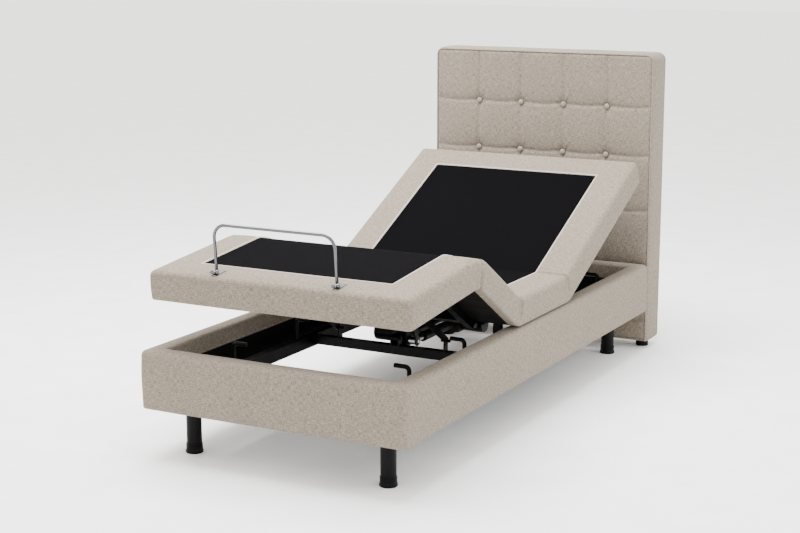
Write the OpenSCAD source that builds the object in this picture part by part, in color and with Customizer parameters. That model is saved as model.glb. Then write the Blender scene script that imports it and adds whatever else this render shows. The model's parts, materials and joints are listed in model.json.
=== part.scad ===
// Single adjustable bed base: upholstered box frame on four legs, tufted headboard,
// steel lifting frame, and a four-section padded platform raised by two linear actuators.
// Millimetres. X runs across the bed, Y from foot (-) to head (+), Z up, origin on the floor
// under the middle of the whole bed.

/* [Mattress platform] */
// Width of the padded platform
platform_w = 900; // [780:10:1200]
// Length of the lower-leg section
leg_len = 447; // [380:1:540]
// Length of the thigh section
thigh_len = 349; // [300:1:420]
// Length of the fixed seat section
seat_len = 433; // [400:1:520]
// Length of the back section
back_len = 763; // [640:1:920]
// Thickness of a section, board and padding together
section_t = 92; // [75:1:115]
// Thickness of the plywood board in each section
board_t = 15; // [10:1:20]
// Thickness of the padding that wraps a section board's edge
board_in = 14; // [8:1:20]
// Width of the upholstered border round the black cloth
border_w = 118; // [80:1:150]
// Thickness of the black non-slip cloth
cloth_t = 2; // [1:0.5:4]

/* [Pose as built] */
// Angle of the back section above flat
back_angle = 25.5; // [0:0.5:60]
// Angle of the thigh section above flat
thigh_angle = 32; // [0:0.5:40]
// Highest angle of the back section
back_max = 60; // [60:1:65]
// Highest angle of the thigh section
thigh_max = 40; // [40:1:44]
// Slope of the lower leg, as a share of the thigh's angle
leg_share = 0.168; // [0.1:0.001:0.25]

/* [Box frame] */
// Height of the legs under the rails
leg_h = 155; // [120:1:220]
// Height of the rails
rail_h = 184; // [150:1:240]
// Thickness of a rail with its padding
rail_t = 60; // [50:1:75]
// Thickness of a rail's timber board
rail_board_t = 40; // [30:1:45]
// Thickness of the padding on top of a rail
rail_top_pad = 10; // [5:1:20]
// How far the frame stands out past the platform on each side
frame_reach = 9; // [4:1:20]
// Gap between the rails and the underside of the flat platform
rail_gap = 7; // [5:1:20]
// Gap between the flat back section and the headboard
head_gap = 14; // [12:1:30]
// Size of the square timber block in each corner
block_s = 110; // [100:1:130]
// Height of the corner block
block_h = 45; // [30:1:45]

/* [Legs] */
// Diameter of a leg tube
leg_d = 48; // [40:1:60]
// Wall of a leg tube
leg_wall = 2; // [1.5:0.5:3]
// Side of the plate on top of a leg
leg_plate_s = 96; // [80:1:100]
// How far a foot cap flares beyond the tube
cap_flare = 4; // [3:0.5:8]
// Height of a foot cap
cap_h = 30; // [20:1:40]
// Thickness of a foot cap under the tube
cap_base = 6; // [4:1:10]

/* [Headboard] */
// Height of the headboard's top above the floor
head_h = 1143; // [900:1:1300]
// Thickness of the headboard
head_t = 140; // [100:1:160]
// Thickness of the padded border round the sides and top
head_border = 22; // [15:1:40]
// Thickness of the tufted front padding
head_pad_t = 35; // [25:1:50]
// Thickness of the front board
head_board_t = 12; // [9:1:18]
// Thickness of the back panel
head_back_t = 6; // [3:1:12]
// Width of a headboard post
post_w = 60; // [50:1:80]
// Distance from the headboard's side to the centre of a post
post_inset = 89; // [85:1:95]
// Diameter of a glide under the headboard
glide_d = 48; // [30:1:55]
// Height of a glide
glide_h = 30; // [20:1:40]
// Distance of a glide's centre from the headboard's side
glide_inset = 40; // [30:1:60]
// Number of tufted rows
tuft_rows = 2; // [1:1:3]
// Number of buttons in a row
tuft_cols = 4; // [2:1:6]
// Diameter of a covered button
button_d = 22; // [16:1:30]
// Drop from the top edge to the first row of buttons
tuft_drop = 205; // [150:1:220]
// Distance between the rows of buttons
tuft_pitch = 186; // [120:1:220]
// Distance between neighbouring buttons in a row
tuft_across = 180; // [120:1:190]

/* [Steel frame] */
// Side of the square tube under each section
tube_s = 25; // [20:1:30]
// Wall of every steel tube
tube_wall = 2; // [1.5:0.5:3]
// Distance from a lengthwise beam's centre in to the section tube beside it
tube_in = 35; // [32:1:40]
// Distance from the frame's side to a lengthwise beam's centre
beam_inset = 144; // [135:1:150]
// Width of a beam
beam_w = 30; // [25:1:35]
// Height of a lengthwise beam
beam_h = 40; // [30:1:45]
// Height of a crossbeam
cross_h = 30; // [20:1:35]
// Distance of the front crossbeam in front of the thigh hinge
cross_1_fore = 19; // [15:1:25]
// Distance of the rear crossbeam behind the back hinge
cross_2_aft = 330; // [250:5:400]
// Diameter of a rest hook
hook_d = 14; // [10:1:16]
// Reach of a rest hook from its post to its tip
hook_reach = 50; // [40:1:60]
// Bend radius of a rest hook
hook_bend = 14; // [12:1:20]
// Distance of the first seat cross tube behind the thigh hinge
seat_cross_1 = 140; // [120:1:160]
// Distance of the second seat cross tube before the back hinge
seat_cross_2 = 45; // [40:1:55]

/* [Hinges] */
// Diameter of every hinge pin
pin_d = 10; // [8:1:12]
// Radius of a hinge eye
eye_r = 12; // [11:0.5:12.5]
// Thickness of a fork or lever plate
plate_t = 5; // [4:1:6]

/* [Actuators] */
// Position of the back actuator across the bed
back_act_x = 15; // [5:1:20]
// Position of the thigh actuator across the bed
thigh_act_x = 78; // [73:1:88]
// Height of both actuators' tail pins
tail_z = 262; // [258:1:268]
// Length of the back section's lever
back_lever = 65; // [60:1:70]
// Length of the thigh section's lever
thigh_lever = 75; // [70:1:76]
// Width of a gear housing
gear_w = 56; // [50:1:60]
// Height of a gear housing
gear_h = 62; // [56:1:66]
// Length of a gear housing
gear_len = 96; // [90:1:110]
// Diameter of a motor
motor_d = 62; // [50:1:66]
// Length of a motor
motor_len = 80; // [60:1:90]
// Diameter of an actuator's outer tube
act_tube_d = 34; // [30:1:36]
// Diameter of the push rod
rod_d = 20; // [16:1:22]
// How much shorter than the seat section the back actuator's outer tube is
back_tube_less = 37; // [35:1:50]
// How much shorter than the seat section the thigh actuator's outer tube is
thigh_tube_less = 95; // [93:1:110]

/* [Knee links] */
// Distance from the middle to a knee link
link_x = 200; // [190:1:210]
// Width of a knee link
link_w = 24; // [20:1:24]
// Height of a knee link's lower pin
link_z = 275; // [270:1:280]
// Distance of the link's upper pin before the knee hinge
link_fore = 16; // [10:1:20]
// Drop of the link's upper pin below the knee hinge
link_drop = 50; // [45:1:55]

/* [Mattress bar] */
// Diameter of the chrome bar
bar_d = 10; // [8:1:16]
// Width between the bar's two legs
bar_w = 420; // [300:5:520]
// Height of the bar above the platform
bar_h = 147; // [100:1:200]
// Bend radius of the bar
bar_bend = 42; // [25:1:50]
// Distance of the bar from the foot end
bar_inset = 62; // [50:1:80]
// Sideways offset of the bar from the middle
bar_shift = -30; // [-40:5:40]
// Diameter of a star knob
knob_d = 30; // [24:1:36]
// Height of a star knob
knob_h = 13; // [10:1:18]
// Diameter of a knob's stud
stud_d = 6; // [5:1:8]

/* [Control box] */
// Width of the control box
box_w = 150; // [100:1:180]
// Length of the control box
box_len = 190; // [120:1:200]
// Height of the control box
box_h = 42; // [30:1:50]
// Diameter of a motor lead
lead_d = 6; // [4:1:8]

/* [Fits] */
// Radial clearance of a running pin
run_fit = 0.05; // [0.02:0.01:0.1]
// Sideways clearance beside an eye
side_fit = 0.4; // [0.2:0.1:1]
// Clearance round a bolt
bolt_fit = 0.5; // [0.25:0.25:1]
// Gap between two sections at their hinge
hinge_gap = 4; // [3:0.5:8]

/* [Hidden] */
$fn = 64;
head_u = leg_len + thigh_len + seat_len + back_len + head_gap;
total_len = head_u + head_t;
frame_w = platform_w + 2 * frame_reach;
half_w = frame_w / 2;
rail_top = leg_h + rail_h;
under_z = rail_top + rail_gap;
hinge_z = under_z - tube_s / 2;
top_z = under_z + section_t;
knee_u = leg_len;
thigh_u = leg_len + thigh_len;
back_u = thigh_u + seat_len;
foot_y = -total_len / 2;
cap_d = leg_d + 2 * cap_flare;
knee_bend = thigh_angle * (1 + leg_share);
inner_x = half_w - rail_t;
tube_end = eye_r + 7;
beam_z = leg_h + block_h;
beam_top = beam_z + beam_h;
cross_z = beam_top - cross_h;
beam_x = half_w - beam_inset;
tube_x = beam_x - tube_in;
post_x = half_w - post_inset;
cross_1_u = thigh_u - cross_1_fore;
cross_2_u = back_u + cross_2_aft;
seat_1_u = thigh_u + seat_cross_1;
seat_2_u = back_u - seat_cross_2;
back_cross_u = back_u + 50;
thigh_cross_u = thigh_u - 60;
leg_cross_u = knee_u - 60;
frame_stop = rail_t + 20;
hook_us = [knee_u - 147, thigh_u - 116, back_u + 250, back_u + 620];
hook_top = under_z - tube_s - 2;
leg_inset = rail_t + block_s / 2;
leg_x = half_w - leg_inset;
leg_us = [leg_inset, head_u - leg_inset];
plate_h = 4;
screw_at = leg_plate_s / 2 - 12;
screw_d = 6;
screw_len = 30;
bolt_d = 8;
bolt_len = 115;
bolt_zs = [225, 300];
lug = eye_r - side_fit;
hinge_lug = tube_s / 2 - side_fit;
back_lever_angle = -30;
thigh_lever_angle = 20;
back_hole_r = 10.5;
back_hole_out = 4.5;
thigh_hole_r = 8;
thigh_hole_out = 0.6;
link_hole_r = 6;
drop_x = link_x + 9;
bar_xs = [bar_shift - bar_w / 2, bar_shift + bar_w / 2];
knob_u = 26;
knob_out = 18;
tab_t = 3;
button_t = 8;

// Joint pins of the two actuators, as [distance from the foot, height], at the built pose.
back_tail = [cross_1_u, tail_z];
thigh_tail = [seat_2_u, tail_z];
back_push = lever_tip([back_u, hinge_z], back_lever, back_lever_angle + back_angle);
thigh_push = lever_tip([thigh_u, hinge_z], thigh_lever, thigh_lever_angle - thigh_angle);
link_low = [cross_1_u, link_z];
link_high = turned([knee_at()[0] - link_fore, knee_at()[1] - link_drop], knee_at(), leg_share * thigh_angle);

function lever_tip(hinge, r, a) = [hinge[0] + r * sin(a), hinge[1] - r * cos(a)];
function knee_at() = [thigh_u - thigh_len * cos(thigh_angle), hinge_z + thigh_len * sin(thigh_angle)];
function turned(p, c, a) = [
    c[0] + (p[0] - c[0]) * cos(a) - (p[1] - c[1]) * sin(a),
    c[1] + (p[0] - c[0]) * sin(a) + (p[1] - c[1]) * cos(a)
];
function span(a, b) = norm([b[0] - a[0], b[1] - a[1]]);
function rise(a, b) = atan2(b[1] - a[1], b[0] - a[0]);
function set_back(half_angle, z) = hinge_gap / 2 + (z - hinge_z) * tan(half_angle);

// ---- placing -----------------------------------------------------------------------

// Everything is laid out flat by its distance from the foot end, then set on the origin.
module placed() {
    translate([0, foot_y, 0]) children();
}

// Turns its children about a crosswise axis at a distance from the foot and a height.
module turned_at(u, z, a) {
    translate([0, u, z]) rotate([a, 0, 0]) translate([0, -u, -z]) children();
}

module on_back() {
    placed() turned_at(back_u, hinge_z, back_angle) children();
}

module on_thigh() {
    placed() turned_at(thigh_u, hinge_z, -thigh_angle) children();
}

module on_leg() {
    on_thigh() turned_at(knee_u, hinge_z, knee_bend) children();
}

// An actuator or link along +Y from pin a to pin b.
module along(x, a, b) {
    placed() translate([x, a[0], a[1]]) rotate([rise(a, b), 0, 0]) children();
}

// ---- shapes ------------------------------------------------------------------------

module block(x0, x1, u0, u1, z0, z1) {
    translate([x0, u0, z0]) cube([x1 - x0, u1 - u0, z1 - z0]);
}

// Extrudes a side outline, given as [distance from foot, height], from x0 to x1.
module side_plate(x0, x1) {
    translate([x0, 0, 0]) rotate([90, 0, 90]) linear_extrude(x1 - x0) children();
}

module rod_x(x0, x1, u, z, r) {
    translate([x0, u, z]) rotate([0, 90, 0]) cylinder(h = x1 - x0, r = r);
}

// A straight strap with round ends, as a side outline.
module strap(a, b, w) {
    translate(a) circle(d = w);
    translate(b) circle(d = w);
    translate(a) rotate(rise(a, b)) translate([0, -w / 2]) square([span(a, b), w]);
}

module tube_long(x, u0, u1, z) {
    difference() {
        block(x - tube_s / 2, x + tube_s / 2, u0, u1, z, z + tube_s);
        block(x - tube_s / 2 + tube_wall, x + tube_s / 2 - tube_wall, u0 - 1, u1 + 1,
              z + tube_wall, z + tube_s - tube_wall);
    }
}

module tube_cross(u, x0, x1) {
    block(x0, x1, u - tube_s / 2, u + tube_s / 2, under_z - tube_s, under_z);
}

// Two plates that straddle a hinge pin on the end of a section tube.
module hinge_fork(u, dir) {
    for (side = [-1, 1])
        for (face = [-1, 1])
            difference() {
                union() {
                    side_plate(side * tube_x + face * (tube_s / 2 + plate_t / 2) - plate_t / 2,
                               side * tube_x + face * (tube_s / 2 + plate_t / 2) + plate_t / 2)
                        strap([u, hinge_z], [u + dir * (tube_end + 22), hinge_z], 2 * eye_r);
                }
                rod_x(side * tube_x - tube_s, side * tube_x + tube_s, u, hinge_z, pin_d / 2);
            }
}

// The round-ended block that turns between the two plates of a fork.
module hinge_eye(u, dir) {
    for (side = [-1, 1])
        difference() {
            side_plate(side * tube_x - hinge_lug, side * tube_x + hinge_lug)
                strap([u, hinge_z], [u + dir * (tube_end + 8), hinge_z], 2 * eye_r - 1);
            rod_x(side * tube_x - tube_s, side * tube_x + tube_s, u, hinge_z, pin_d / 2 + run_fit);
        }
}

module hinge_pins(u) {
    reach = tube_s / 2 + plate_t;
    for (side = [-1, 1]) {
        rod_x(side * tube_x - reach - 1, side * tube_x + reach + 1, u, hinge_z, pin_d / 2);
        rod_x(side * tube_x - reach - 4, side * tube_x - reach, u, hinge_z, pin_d * 0.8);
        rod_x(side * tube_x + reach, side * tube_x + reach + 4, u, hinge_z, pin_d * 0.8);
    }
}

// One layer of a section, its ends leaning back from the hinges so the sections can fold.
module layer(x0, x1, u0, u1, lean0, lean1, z0, z1) {
    side_plate(x0, x1)
        polygon([
            [u0 + (lean0 < 0 ? 0 : set_back(lean0, z0)), z0],
            [u1 - (lean1 < 0 ? 0 : set_back(lean1, z0)), z0],
            [u1 - (lean1 < 0 ? 0 : set_back(lean1, z1)), z1],
            [u0 + (lean0 < 0 ? 0 : set_back(lean0, z1)), z1]
        ]);
}

module board_layer(u0, u1, lean0, lean1, z0, z1) {
    layer(board_in - platform_w / 2, platform_w / 2 - board_in, u0 + (lean0 < 0 ? board_in : 0),
          u1 - (lean1 < 0 ? board_in : 0), lean0, lean1, z0, z1);
}

module section_board(u0, u1, lean0, lean1) {
    color("burlywood")
        board_layer(u0, u1, lean0, lean1, under_z, under_z + board_t);
}

module section_cloth(u0, u1, lean0, lean1) {
    color([0.12, 0.12, 0.12])
        layer(border_w - platform_w / 2, platform_w / 2 - border_w, u0, u1, lean0, lean1,
              top_z - cloth_t, top_z);
}

module section_pad(u0, u1, lean0, lean1) {
    difference() {
        layer(-platform_w / 2, platform_w / 2, u0, u1, lean0, lean1, under_z, top_z);
        board_layer(u0 - (lean0 < 0 ? 0 : 1), u1 + (lean1 < 0 ? 0 : 1), lean0, lean1,
                    under_z - 1, under_z + board_t);
        layer(border_w - platform_w / 2, platform_w / 2 - border_w,
              u0 - (lean0 < 0 ? 0 : 1), u1 + (lean1 < 0 ? 0 : 1), lean0, lean1,
              top_z - cloth_t, top_z + 1);
    }
}

// ---- box frame ---------------------------------------------------------------------

rail_pad_t = rail_t - rail_board_t;
rail_board_top = rail_top - rail_top_pad;

module end_rail_board(u0) {
    block(rail_pad_t - half_w, half_w - rail_pad_t, u0, u0 + rail_board_t, leg_h, rail_board_top);
}

module bolt_holes(u0, u1) {
    for (side = [-1, 1])
        for (z = bolt_zs)
            translate([side * post_x, u0, z]) rotate([-90, 0, 0]) cylinder(h = u1 - u0, r = bolt_d / 2 + bolt_fit);
}

module foot_rail() {
    color("tan") placed() end_rail_board(rail_pad_t);
}

module head_rail() {
    color("tan") placed() difference() {
        end_rail_board(head_u - rail_t);
        bolt_holes(head_u - rail_t - 1, head_u);
    }
}

module side_rail(side) {
    inner = side < 0 ? rail_pad_t - half_w : inner_x;
    color("tan") placed() block(inner, inner + rail_board_t, rail_t, head_u - rail_t, leg_h, rail_board_top);
}

module left_rail() {
    side_rail(-1);
}

module right_rail() {
    side_rail(1);
}

module end_rail_pad(u0, board_u) {
    difference() {
        block(-half_w, half_w, u0, u0 + rail_t, leg_h, rail_top);
        block(rail_pad_t - half_w, half_w - rail_pad_t, board_u, board_u + rail_board_t, leg_h - 1, rail_board_top);
    }
}

module foot_rail_pad() {
    color([0.68, 0.65, 0.6]) placed() end_rail_pad(0, rail_pad_t);
}

module head_rail_pad() {
    color([0.68, 0.65, 0.6]) placed() difference() {
        end_rail_pad(head_u - rail_t, head_u - rail_t);
        bolt_holes(head_u - rail_t - 1, head_u + 1);
    }
}

module side_rail_pad(side) {
    x0 = side < 0 ? -half_w : inner_x;
    inner = side < 0 ? rail_pad_t - half_w : inner_x;
    color([0.68, 0.65, 0.6]) placed() difference() {
        block(x0, x0 + rail_t, rail_t, head_u - rail_t, leg_h, rail_top);
        block(inner, inner + rail_board_t, rail_t - 1, head_u - rail_t + 1, leg_h - 1, rail_board_top);
    }
}

module left_rail_pad() {
    side_rail_pad(-1);
}

module right_rail_pad() {
    side_rail_pad(1);
}

module leg_screws(r) {
    for (side = [-1, 1])
        for (u = leg_us)
            for (dx = [-1, 1])
                for (du = [-1, 1])
                    translate([side * leg_x + dx * screw_at, u + du * screw_at, leg_h - plate_h])
                        cylinder(h = screw_len, r = r);
}

module corner_blocks() {
    color("peru") placed() difference() {
        for (side = [-1, 1])
            for (u = leg_us)
                block(side * leg_x - block_s / 2, side * leg_x + block_s / 2,
                      u - block_s / 2, u + block_s / 2, leg_h, beam_z);
        leg_screws(screw_d / 2);
    }
}

// Leg screws with their heads, and the bolts that hold the headboard to the head rail.
module frame_bolts() {
    color("silver") placed() {
        leg_screws(screw_d / 2);
        translate([0, 0, -3]) for (side = [-1, 1])
            for (u = leg_us)
                for (dx = [-1, 1])
                    for (du = [-1, 1])
                        translate([side * leg_x + dx * screw_at, u + du * screw_at, leg_h - plate_h])
                            cylinder(h = 3, d = 2 * screw_d);
        for (side = [-1, 1])
            for (z = bolt_zs)
                translate([side * post_x, head_u - rail_t, z]) rotate([-90, 0, 0]) {
                    cylinder(h = bolt_len, d = bolt_d);
                    translate([0, 0, -5.5]) cylinder(h = 5.5, d = 15, $fn = 6);
                }
    }
}

module leg(i) {
    color([0.1, 0.1, 0.1]) placed()
        translate([(i % 2 == 1 ? -1 : 1) * leg_x, leg_us[i > 2 ? 1 : 0], 0]) difference() {
            union() {
                translate([0, 0, cap_base]) cylinder(h = leg_h - plate_h - cap_base, d = leg_d);
                translate([-leg_plate_s / 2, -leg_plate_s / 2, leg_h - plate_h])
                    cube([leg_plate_s, leg_plate_s, plate_h]);
            }
            translate([0, 0, cap_base - 1])
                cylinder(h = leg_h - plate_h - cap_base - leg_wall, d = leg_d - 2 * leg_wall);
            for (dx = [-1, 1])
                for (du = [-1, 1])
                    translate([dx * screw_at, du * screw_at, leg_h - plate_h - 1])
                        cylinder(h = plate_h + 2, r = screw_d / 2);
        }
}

module foot_cap(i) {
    r_low = cap_d / 2;
    r_high = leg_d / 2 + 2;
    color([0.07, 0.07, 0.07]) placed()
        translate([(i % 2 == 1 ? -1 : 1) * leg_x, leg_us[i > 2 ? 1 : 0], 0])
            rotate_extrude()
                polygon([
                    [0, 0], [r_low - 2, 0], [r_low, 2], [r_low, 7], [r_high, 14], [r_high, cap_h],
                    [leg_d / 2, cap_h], [leg_d / 2, cap_base], [0, cap_base]
                ]);
}

// ---- headboard ---------------------------------------------------------------------

head_in_x = half_w - head_border;
head_in_top = head_h - head_border;
head_core_u = head_u + head_pad_t + head_board_t;

module headboard_frame() {
    rail_zs = [glide_h, 400, 760, head_in_top - post_w];
    color("tan") placed() difference() {
        union() {
            for (side = [-1, 1])
                block(side * post_x - post_w / 2, side * post_x + post_w / 2,
                      head_core_u, head_u + head_t - head_back_t, glide_h, head_in_top);
            for (z = rail_zs)
                block(-post_x, post_x, head_core_u, head_core_u + rail_board_t, z, z + post_w);
        }
        bolt_holes(head_core_u - 1, head_u - rail_t + bolt_len + 1);
    }
}

module headboard_board() {
    color("burlywood") placed() difference() {
        block(-head_in_x, head_in_x, head_u + head_pad_t, head_core_u, glide_h, head_in_top);
        bolt_holes(head_u, head_core_u + 1);
    }
}

module headboard_pad() {
    color([0.72, 0.7, 0.66]) placed() difference() {
        block(-head_in_x, head_in_x, head_u, head_u + head_pad_t, glide_h, head_in_top);
        bolt_holes(head_u - 1, head_core_u);
        at_buttons() cylinder(h = 3 * button_t, d = button_d + 2 * bolt_fit, center = true);
    }
}

module headboard_border() {
    color([0.66, 0.64, 0.6]) placed() difference() {
        block(-half_w, half_w, head_u, head_u + head_t, glide_h, head_h);
        block(-head_in_x, head_in_x, head_u - 1, head_u + head_t + 1, glide_h - 1, head_in_top);
    }
}

module headboard_back() {
    color([0.15, 0.15, 0.15]) placed()
        block(-head_in_x, head_in_x, head_u + head_t - head_back_t, head_u + head_t, glide_h, head_in_top);
}

module headboard_glides() {
    color([0.06, 0.06, 0.06]) placed()
        for (side = [-1, 1])
            translate([side * (half_w - glide_inset), head_u + head_t / 2, 0]) {
                cylinder(h = glide_h - 6, d = glide_d);
                cylinder(h = glide_h, d = glide_d / 2);
            }
}

// Runs its children at each button, facing the foot of the bed.
module at_buttons() {
    for (row = [0 : tuft_rows - 1])
        for (col = [0 : tuft_cols - 1])
            translate([(col - (tuft_cols - 1) / 2) * tuft_across, head_u, head_h - tuft_drop - row * tuft_pitch])
                rotate([90, 0, 0]) children();
}

module tuft_buttons() {
    color([0.7, 0.68, 0.64]) placed() at_buttons() {
        translate([0, 0, -button_t - 3]) cylinder(h = button_t, d = button_d);
        translate([0, 0, -3 * button_t / 2]) cylinder(h = button_t / 2, d = button_d / 2);
    }
}

// ---- steel frame -------------------------------------------------------------------

module beam(side) {
    color([0.13, 0.13, 0.13]) placed() {
        x = side * beam_x;
        difference() {
            block(x - beam_w / 2, x + beam_w / 2, rail_t, head_u - rail_t, beam_z, beam_top);
            block(x - beam_w / 2 + tube_wall, x + beam_w / 2 - tube_wall, rail_t - 1, head_u - rail_t + 1,
                  beam_z + tube_wall, beam_top - tube_wall);
        }
        for (u = [rail_t, head_u - rail_t - plate_t])
            block(x - beam_w, x + beam_w, u, u + plate_t, beam_z, beam_top + 30);
    }
}

module left_beam() {
    beam(-1);
}

module right_beam() {
    beam(1);
}

module crossbeam(u) {
    difference() {
        block(beam_w / 2 - beam_x, beam_x - beam_w / 2, u - beam_w / 2, u + beam_w / 2, cross_z, beam_top);
        block(beam_w / 2 - beam_x - 1, beam_x - beam_w / 2 + 1, u - beam_w / 2 + tube_wall,
              u + beam_w / 2 - tube_wall, cross_z + tube_wall, beam_top - tube_wall);
    }
}

// Two ears that hold a pin across an actuator's tail.
module tail_ears(x, tail, root_z) {
    for (face = [-1, 1])
        difference() {
            side_plate(x + face * (lug + side_fit + plate_t / 2) - plate_t / 2,
                       x + face * (lug + side_fit + plate_t / 2) + plate_t / 2)
                strap(tail, [tail[0], root_z], 2 * eye_r);
            rod_x(x - 4 * eye_r, x + 4 * eye_r, tail[0], tail[1], pin_d / 2);
        }
    cross_pin(x, tail);
}

module cross_pin(x, at) {
    reach = lug + side_fit + plate_t;
    rod_x(x - reach - 3, x + reach + 3, at[0], at[1], pin_d / 2);
}

// The front crossbeam carries the back actuator's tail and the lower pins of the knee links.
module front_crossbeam() {
    color([0.13, 0.13, 0.13]) placed() {
        crossbeam(cross_1_u);
        difference() {
            tail_ears(back_act_x, back_tail, beam_top - eye_r + 6);
            block(-beam_x, beam_x, cross_1_u - eye_r - 1, cross_1_u + eye_r + 1, cross_z - 20, beam_top - 1);
        }
        for (side = [-1, 1]) {
            difference() {
                side_plate(side * link_x - plate_t / 2, side * link_x + plate_t / 2)
                    strap(link_low, [link_low[0], beam_top], link_w);
                block(-beam_x, beam_x, cross_1_u - eye_r - 1, cross_1_u + eye_r + 1, cross_z - 20, beam_top - 1);
            }
            rod_x(side * link_x - 16, side * link_x + 16, link_low[0], link_low[1], pin_d / 2);
        }
    }
}

module rear_crossbeam() {
    color([0.13, 0.13, 0.13]) placed() crossbeam(cross_2_u);
}

// Bent bars on the beams that carry the section tubes when the platform is flat.
module rest_hook() {
    post_h = hook_top - hook_d / 2 - hook_bend - beam_top;
    cylinder(h = post_h, d = hook_d);
    translate([-hook_bend, 0, post_h]) rotate([90, 0, 0])
        rotate_extrude(angle = 90) translate([hook_bend, 0]) circle(d = hook_d);
    translate([-hook_bend, 0, post_h + hook_bend]) rotate([0, -90, 0])
        cylinder(h = hook_reach - hook_bend, d = hook_d);
}

module rest_hooks() {
    color([0.1, 0.1, 0.1]) placed()
        for (u = hook_us) {
            translate([beam_x, u, beam_top]) rest_hook();
            mirror([1, 0, 0]) translate([beam_x, u, beam_top]) rest_hook();
        }
}

// ---- sections ----------------------------------------------------------------------

module seat_frame() {
    color([0.13, 0.13, 0.13]) placed() {
        for (side = [-1, 1]) {
            tube_long(side * tube_x, thigh_u + tube_end, back_u - tube_end, under_z - tube_s);
            for (u = [seat_1_u, seat_2_u])
                block(side * beam_x - tube_s / 2, side * beam_x + tube_s / 2,
                      u - tube_s / 2, u + tube_s / 2, beam_top, under_z);
        }
        for (u = [seat_1_u, seat_2_u])
            tube_cross(u, -beam_x, beam_x);
        hinge_fork(thigh_u, 1);
        hinge_fork(back_u, -1);
        tail_ears(thigh_act_x, thigh_tail, under_z - tube_s / 2);
    }
}

module thigh_hinge_pins() {
    color("silver") placed() hinge_pins(thigh_u);
}

module back_hinge_pins() {
    color("silver") placed() hinge_pins(back_u);
}

module knee_hinge_pins() {
    color("silver") on_thigh() hinge_pins(knee_u);
}

// A lever of two plates on a section's cross tube, with a roomy hole for the actuator's pin.
module push_lever(x, root, hinge, r, a, hole_r, hole_out) {
    tip = lever_tip(hinge, r + hole_out, a);
    for (face = [-1, 1])
        difference() {
            side_plate(x + face * (eye_r + 1 + plate_t / 2) - plate_t / 2,
                       x + face * (eye_r + 1 + plate_t / 2) + plate_t / 2) {
                strap(root, tip, 2 * eye_r);
                translate(tip) circle(r = hole_r + 7);
            }
            rod_x(x - 4 * eye_r, x + 4 * eye_r, tip[0], tip[1], hole_r);
        }
}

module thigh_frame() {
    color([0.13, 0.13, 0.13]) on_thigh() {
        for (side = [-1, 1])
            tube_long(side * tube_x, knee_u + tube_end, thigh_u - tube_end, under_z - tube_s);
        for (u = [knee_u + 60, thigh_cross_u])
            tube_cross(u, -tube_x, tube_x);
        hinge_eye(thigh_u, -1);
        hinge_fork(knee_u, 1);
        push_lever(thigh_act_x, [thigh_cross_u, hinge_z], [thigh_u, hinge_z], thigh_lever,
                   thigh_lever_angle, thigh_hole_r, thigh_hole_out);
    }
}

module back_frame() {
    color([0.13, 0.13, 0.13]) on_back() {
        for (side = [-1, 1])
            tube_long(side * tube_x, back_u + tube_end, head_u - frame_stop, under_z - tube_s);
        for (u = [back_cross_u, (back_cross_u + head_u - frame_stop) / 2, head_u - frame_stop - tube_s / 2])
            tube_cross(u, -tube_x, tube_x);
        hinge_eye(back_u, 1);
        push_lever(back_act_x, [back_cross_u, hinge_z], [back_u, hinge_z], back_lever,
                   back_lever_angle, back_hole_r, back_hole_out);
    }
}

module leg_frame() {
    high = [knee_u - link_fore, hinge_z - link_drop];
    color([0.13, 0.13, 0.13]) on_leg() {
        for (side = [-1, 1]) {
            tube_long(side * tube_x, frame_stop, knee_u - tube_end, under_z - tube_s);
            difference() {
                side_plate(side * drop_x - plate_t / 2, side * drop_x + plate_t / 2)
                    strap([leg_cross_u, hinge_z], high, link_w);
                rod_x(side * drop_x - 20, side * drop_x + 20, high[0], high[1], link_hole_r);
            }
        }
        for (u = [frame_stop + tube_s / 2, leg_cross_u])
            tube_cross(u, -tube_x, tube_x);
        hinge_eye(knee_u, -1);
    }
}

module seat_board() {
    placed() section_board(thigh_u, back_u, thigh_max / 2, back_max / 2);
}

module seat_pad() {
    color([0.7, 0.67, 0.63]) placed() section_pad(thigh_u, back_u, thigh_max / 2, back_max / 2);
}

module seat_cloth() {
    placed() section_cloth(thigh_u, back_u, thigh_max / 2, back_max / 2);
}

module thigh_board() {
    on_thigh() section_board(knee_u, thigh_u, 0, thigh_max / 2);
}

module thigh_pad() {
    color([0.7, 0.67, 0.63]) on_thigh() section_pad(knee_u, thigh_u, 0, thigh_max / 2);
}

module thigh_cloth() {
    on_thigh() section_cloth(knee_u, thigh_u, 0, thigh_max / 2);
}

module stud_holes(r) {
    for (i = [0, 1])
        translate([knob_x(i), knob_u, under_z - 1]) cylinder(h = section_t + 2, r = r);
}

function knob_x(i) = bar_xs[i] + knob_out;

module leg_board() {
    on_leg() difference() {
        section_board(0, knee_u, -1, 0);
        stud_holes(stud_d / 2 + run_fit);
    }
}

module leg_pad() {
    color([0.7, 0.67, 0.63]) on_leg() difference() {
        union() {
            section_pad(0, knee_u, -1, 0);
            block(border_w - platform_w / 2 - 1, platform_w / 2 - border_w + 1, 0, border_w,
                  top_z - cloth_t - 1, top_z);
        }
        stud_holes(stud_d / 2 + 1);
    }
}

module leg_cloth() {
    on_leg() section_cloth(border_w, knee_u, -1, 0);
}

module back_board() {
    on_back() section_board(back_u, back_u + back_len, back_max / 2, -1);
}

module back_pad() {
    color([0.7, 0.67, 0.63]) on_back() {
        section_pad(back_u, back_u + back_len, back_max / 2, -1);
        block(border_w - platform_w / 2 - 1, platform_w / 2 - border_w + 1,
              back_u + back_len - border_w, back_u + back_len, top_z - cloth_t - 1, top_z);
    }
}

module back_cloth() {
    on_back() section_cloth(back_u, back_u + back_len - border_w, back_max / 2, -1);
}

// ---- actuators and links -----------------------------------------------------------

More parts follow.
